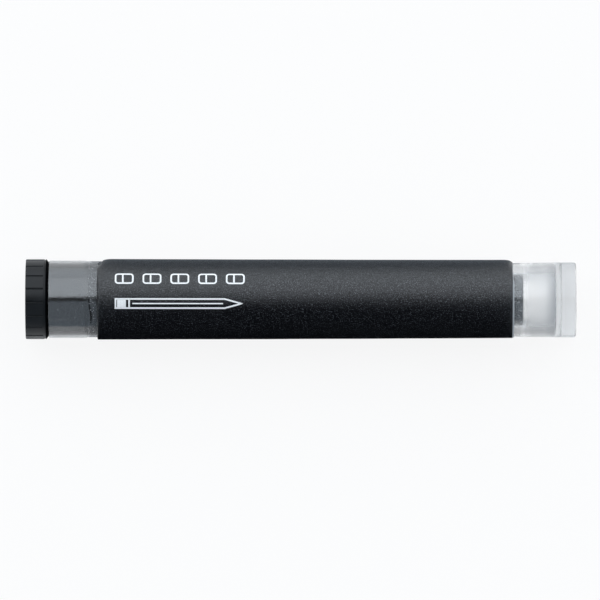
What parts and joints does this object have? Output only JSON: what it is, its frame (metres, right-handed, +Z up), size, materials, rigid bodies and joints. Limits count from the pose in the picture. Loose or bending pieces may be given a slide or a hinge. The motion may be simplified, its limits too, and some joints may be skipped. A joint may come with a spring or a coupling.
{
  "type": "eraser refill tube",
  "caption": "Clear round tube with a closed foot, a ribbed push-in stopper and a dark outer sleeve, holding a row of small cylindrical pencil erasers.",
  "frame": {"origin": "on the surface that the tube lies on, halfway along its length, below its axis", "axes": "+X along the tube from the stopper to the closed foot, +Z up"},
  "size_m": [0.0688, 0.01, 0.0101],
  "materials": {
    "clear_plastic": "glossy, slightly milky see-through moulded plastic",
    "stopper_plastic": "satin black moulded plastic",
    "sleeve_film": "matt black film with a fine sparkling grain",
    "eraser_rubber": "dull dark grey with pale specks"
  },
  "bodies": {
    "tube": {"tube": "clear_plastic", "sleeve": "sleeve_film"},
    "stopper": {"stopper": "stopper_plastic"},
    "eraser_1": {"eraser_1": "eraser_rubber"},
    "eraser_2": {"eraser_2": "eraser_rubber"},
    "eraser_3": {"eraser_3": "eraser_rubber"},
    "eraser_4": {"eraser_4": "eraser_rubber"},
    "eraser_5": {"eraser_5": "eraser_rubber"}
  },
  "joints": [
    {"name": "stopper_pull", "type": "slide", "parent": "tube", "child": "stopper", "axis": [-1, 0, 0], "range_m": [0, 0.018]},
    {"name": "eraser_1_slide", "type": "slide", "parent": "tube", "child": "eraser_1", "axis": [1, 0, 0], "range_m": [0, 0.003]},
    {"name": "eraser_2_slide", "type": "slide", "parent": "tube", "child": "eraser_2", "axis": [1, 0, 0], "range_m": [0, 0.003]},
    {"name": "eraser_3_slide", "type": "slide", "parent": "tube", "child": "eraser_3", "axis": [1, 0, 0], "range_m": [0, 0.003]},
    {"name": "eraser_4_slide", "type": "slide", "parent": "tube", "child": "eraser_4", "axis": [1, 0, 0], "range_m": [0, 0.003]},
    {"name": "eraser_5_slide", "type": "slide", "parent": "tube", "child": "eraser_5", "axis": [1, 0, 0], "range_m": [0, 0.003]}
  ],
  "couplings": [
    {"joint": "eraser_2_slide", "follows": "eraser_1_slide", "ratio": 1},
    {"joint": "eraser_3_slide", "follows": "eraser_1_slide", "ratio": 1},
    {"joint": "eraser_4_slide", "follows": "eraser_1_slide", "ratio": 1},
    {"joint": "eraser_5_slide", "follows": "eraser_1_slide", "ratio": 1}
  ]
}
